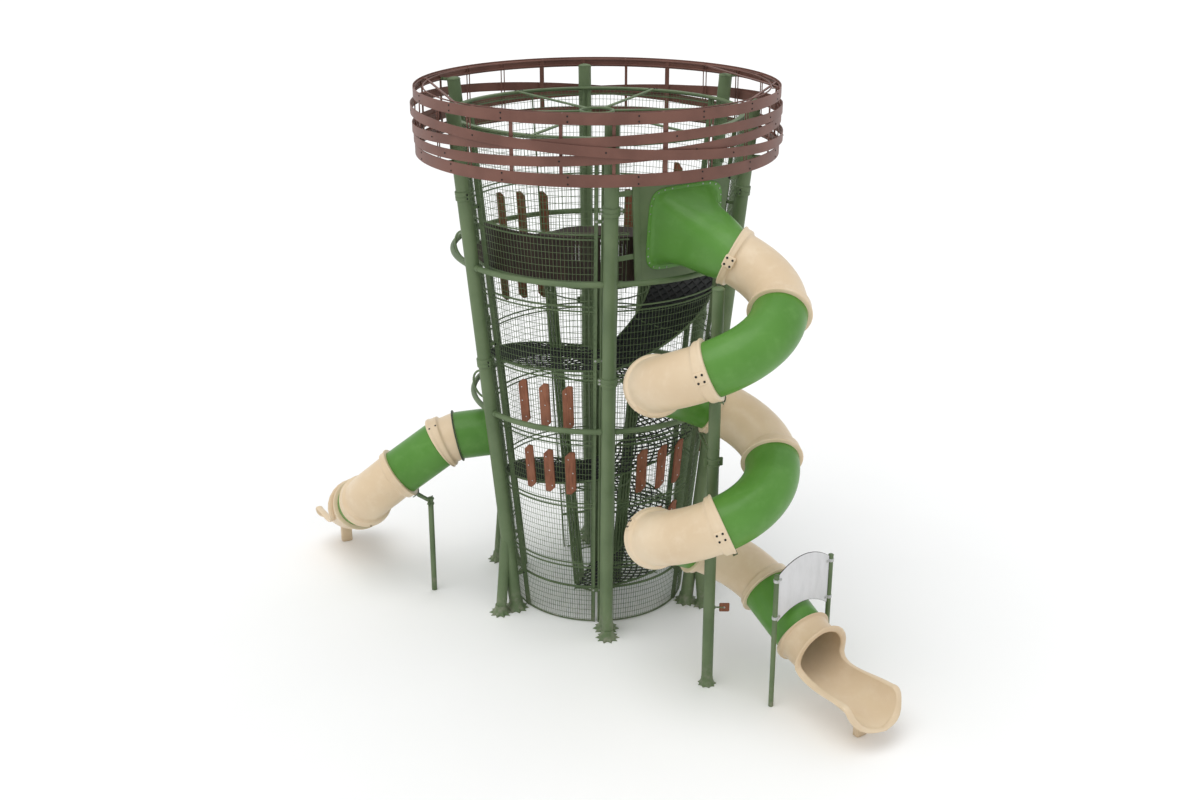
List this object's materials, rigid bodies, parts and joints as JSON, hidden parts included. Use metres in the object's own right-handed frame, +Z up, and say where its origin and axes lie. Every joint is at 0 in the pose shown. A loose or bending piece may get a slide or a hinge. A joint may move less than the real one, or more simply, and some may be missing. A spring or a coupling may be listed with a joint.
{
  "type": "playground climbing tower with tube slides",
  "caption": "Round mesh-skinned climbing tower on leaning steel posts, with a net ramp up to a platform, a crown of woven bands and two enclosed tube slides.",
  "frame": {"origin": "middle of the object's footprint box, on the ground", "axes": "+Z up; +Y from the front post of the tower towards its rear post; +X towards the side of the tall slide"},
  "size_m": [9.1264, 7.8836, 8.395],
  "materials": {
    "bay_back_left": "satin powder coat, grey green",
    "bay_back_right": "satin powder coat, grey green",
    "bay_front_left": "satin powder coat, grey green",
    "bay_front_right": "satin powder coat, grey green",
    "bay_left": "satin powder coat, grey green",
    "bay_right": "satin powder coat, grey green",
    "core_cage": "satin powder coat, grey green",
    "deck": "satin powder coat, grey green",
    "entrance_panel": "satin powder coat, grey green",
    "low_slide_gate": "satin powder coat, grey green",
    "low_slide_post": "satin powder coat, grey green",
    "post_back": "satin powder coat, grey green",
    "post_back_left": "satin powder coat, grey green",
    "post_back_right": "satin powder coat, grey green",
    "post_front": "satin powder coat, grey green",
    "post_front_left": "satin powder coat, grey green",
    "post_front_right": "satin powder coat, grey green",
    "ring_beam_lower": "satin powder coat, grey green",
    "ring_beam_upper": "satin powder coat, grey green",
    "roof_frame": "satin powder coat, grey green",
    "sign_post_far": "satin powder coat, grey green",
    "sign_post_near": "satin powder coat, grey green",
    "tall_slide_post": "satin powder coat, grey green",
    "crown_band_bottom": "matt powder coat, red brown",
    "crown_band_top": "matt powder coat, red brown",
    "crown_frame": "matt powder coat, red brown",
    "crown_weave_inner": "matt powder coat, red brown",
    "crown_weave_middle": "matt powder coat, red brown",
    "crown_weave_outer": "matt powder coat, red brown",
    "entrance_hood": "smooth moulded plastic, leaf green",
    "tall_slide_tube_2": "smooth moulded plastic, leaf green",
    "tall_slide_tube_4": "smooth moulded plastic, leaf green",
    "tall_slide_tube_6": "smooth moulded plastic, leaf green",
    "tall_slide_tube_8": "smooth moulded plastic, leaf green",
    "tall_slide_tube_10": "smooth moulded plastic, leaf green",
    "low_slide_tube_1": "smooth moulded plastic, leaf green",
    "low_slide_tube_3": "smooth moulded plastic, leaf green",
    "low_slide_tube_5": "smooth moulded plastic, leaf green",
    "tall_slide_tube_1": "smooth moulded plastic, sand",
    "tall_slide_tube_3": "smooth moulded plastic, sand",
    "tall_slide_tube_5": "smooth moulded plastic, sand",
    "tall_slide_tube_7": "smooth moulded plastic, sand",
    "tall_slide_tube_9": "smooth moulded plastic, sand",
    "low_slide_tube_2": "smooth moulded plastic, sand",
    "low_slide_tube_4": "smooth moulded plastic, sand",
    "tall_slide_exit": "smooth moulded plastic, sand",
    "low_slide_exit": "smooth moulded plastic, sand",
    "slat_guard": "matt, dark brown",
    "net_ramp_lower": "rope net, black",
    "net_ramp_upper": "rope net, black",
    "sign_plate": "smooth, white",
    "wing_plate": "matt, rust brown"
  },
  "bodies": {
    "root": {"bay_back_left": "bay_back_left", "bay_back_right": "bay_back_right", "bay_front_left": "bay_front_left", "bay_front_right": "bay_front_right", "bay_left": "bay_left", "bay_right": "bay_right", "core_cage": "core_cage", "deck": "deck", "entrance_panel": "entrance_panel", "low_slide_gate": "low_slide_gate", "low_slide_post": "low_slide_post", "post_back": "post_back", "post_back_left": "post_back_left", "post_back_right": "post_back_right", "post_front": "post_front", "post_front_left": "post_front_left", "post_front_right": "post_front_right", "ring_beam_lower": "ring_beam_lower", "ring_beam_upper": "ring_beam_upper", "roof_frame": "roof_frame", "sign_post_far": "sign_post_far", "sign_post_near": "sign_post_near", "tall_slide_post": "tall_slide_post", "crown_band_bottom": "crown_band_bottom", "crown_band_top": "crown_band_top", "crown_frame": "crown_frame", "crown_weave_inner": "crown_weave_inner", "crown_weave_middle": "crown_weave_middle", "crown_weave_outer": "crown_weave_outer", "entrance_hood": "entrance_hood", "tall_slide_tube_2": "tall_slide_tube_2", "tall_slide_tube_4": "tall_slide_tube_4", "tall_slide_tube_6": "tall_slide_tube_6", "tall_slide_tube_8": "tall_slide_tube_8", "tall_slide_tube_10": "tall_slide_tube_10", "low_slide_tube_1": "low_slide_tube_1", "low_slide_tube_3": "low_slide_tube_3", "low_slide_tube_5": "low_slide_tube_5", "tall_slide_tube_1": "tall_slide_tube_1", "tall_slide_tube_3": "tall_slide_tube_3", "tall_slide_tube_5": "tall_slide_tube_5", "tall_slide_tube_7": "tall_slide_tube_7", "tall_slide_tube_9": "tall_slide_tube_9", "low_slide_tube_2": "low_slide_tube_2", "low_slide_tube_4": "low_slide_tube_4", "tall_slide_exit": "tall_slide_exit", "low_slide_exit": "low_slide_exit", "slat_guard": "slat_guard", "net_ramp_lower": "net_ramp_lower", "net_ramp_upper": "net_ramp_upper", "sign_plate": "sign_plate", "wing_plate": "wing_plate"}
  },
  "joints": []
}
